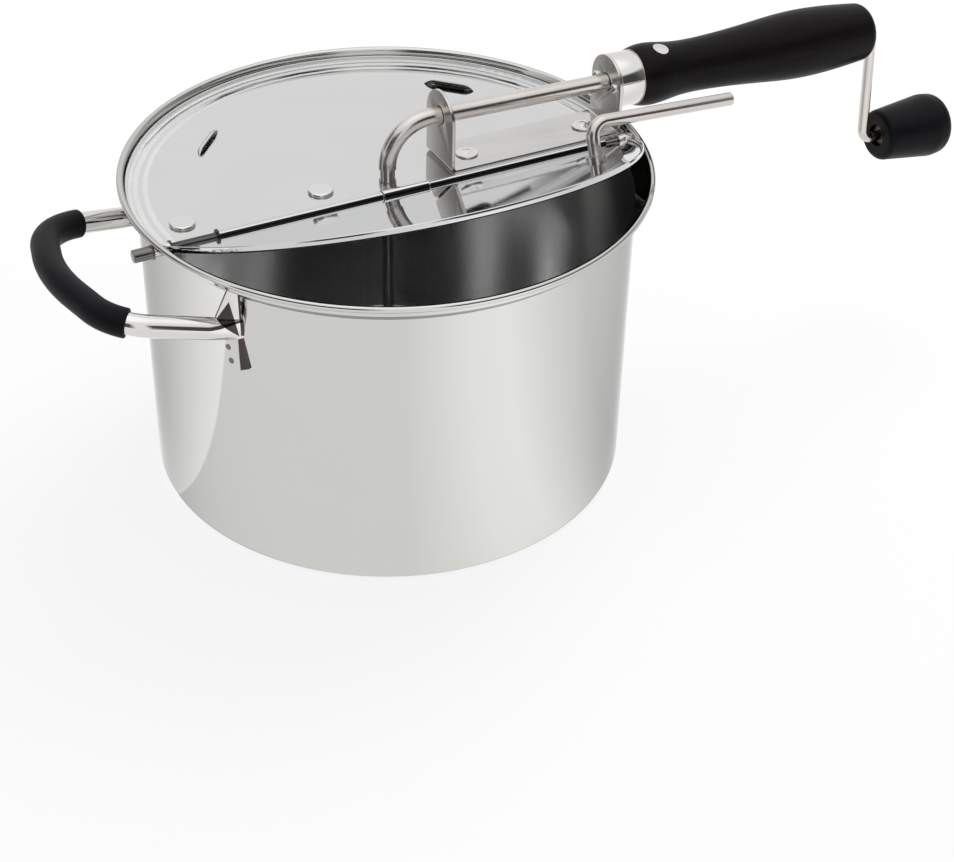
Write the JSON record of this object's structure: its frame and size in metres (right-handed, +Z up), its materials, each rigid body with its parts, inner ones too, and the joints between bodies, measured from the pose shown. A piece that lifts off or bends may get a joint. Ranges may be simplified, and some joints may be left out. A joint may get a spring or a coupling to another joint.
{
  "type": "stovetop popcorn popper",
  "caption": "Stovetop popcorn popper: round steel pot with a split hinged lid, a side handle, and a crank in the long wooden handle that turns stirring wires.",
  "frame": {"origin": "middle of the base plate's underside, on the table", "axes": "+Z up, +X from the pot's middle towards the long handle and crank, -Y towards the hinged front half of the lid"},
  "size_m": [0.4766, 0.24, 0.1849],
  "materials": {
    "polished_steel": "polished",
    "satin_steel": "satin",
    "stained_wood": "satin lacquer over a near-black stain",
    "black_plastic": "satin",
    "soft_grip": "matt"
  },
  "bodies": {
    "pot": {"pot_shell": "polished_steel", "base_plate": "satin_steel", "side_handle_tube": "polished_steel", "side_handle_grip": "soft_grip", "rod_bushings": "satin_steel", "spring_seat": "satin_steel", "lid_half": "polished_steel", "lid_brace": "satin_steel", "lid_rivets": "polished_steel", "bracket_rivets": "polished_steel", "handle_bracket": "satin_steel", "lid_bushing": "satin_steel", "drive_tube": "satin_steel", "flex_shaft": "satin_steel", "handle_ferrule": "polished_steel", "ferrule_screws": "polished_steel", "handle_grip": "stained_wood", "handle_pin": "satin_steel", "crank_bush": "satin_steel", "release_spring": "satin_steel"},
    "flap": {"lid_flap": "polished_steel", "flap_lever": "satin_steel", "lever_collar": "satin_steel", "lever_screw": "satin_steel"},
    "crank": {"crank_rod": "satin_steel", "knob_retainer": "satin_steel"},
    "knob": {"crank_knob": "black_plastic", "knob_cap": "black_plastic"},
    "stirrer": {"stirrer_shaft": "satin_steel", "shaft_collar": "satin_steel", "stirrer_wire_low": "satin_steel", "stirrer_wire_high": "satin_steel"},
    "release_rod": {"hinge_rod": "satin_steel", "release_button": "satin_steel", "rod_clip": "satin_steel"}
  },
  "joints": [
    {"name": "crank_turn", "type": "hinge", "parent": "pot", "child": "crank", "pos_m": [0, 0, 0.1695], "axis": [0.9997, 0, -0.0257], "continuous": true},
    {"name": "knob_spin", "type": "hinge", "parent": "crank", "child": "knob", "pos_m": [0.26623, -0.00717, 0.10509], "axis": [0.9997, 0, -0.0257], "continuous": true},
    {"name": "stirrer_turn", "type": "hinge", "parent": "pot", "child": "stirrer", "pos_m": [0, 0, 0], "axis": [0, 0, 1], "continuous": true},
    {"name": "flap_open", "type": "hinge", "parent": "pot", "child": "flap", "pos_m": [0, -0.0173, 0.145], "axis": [-1, 0, 0], "range_deg": [-22.5, 58]},
    {"name": "release_pull", "type": "slide", "parent": "pot", "child": "release_rod", "axis": [-1, 0, 0], "range_m": [0, 0.008], "stiffness_N_per_m": 400, "springref_m": -0.006, "deforming": ["release_spring"]}
  ],
  "couplings": [
    {"joint": "stirrer_turn", "follows": "crank_turn", "ratio": 1}
  ]
}
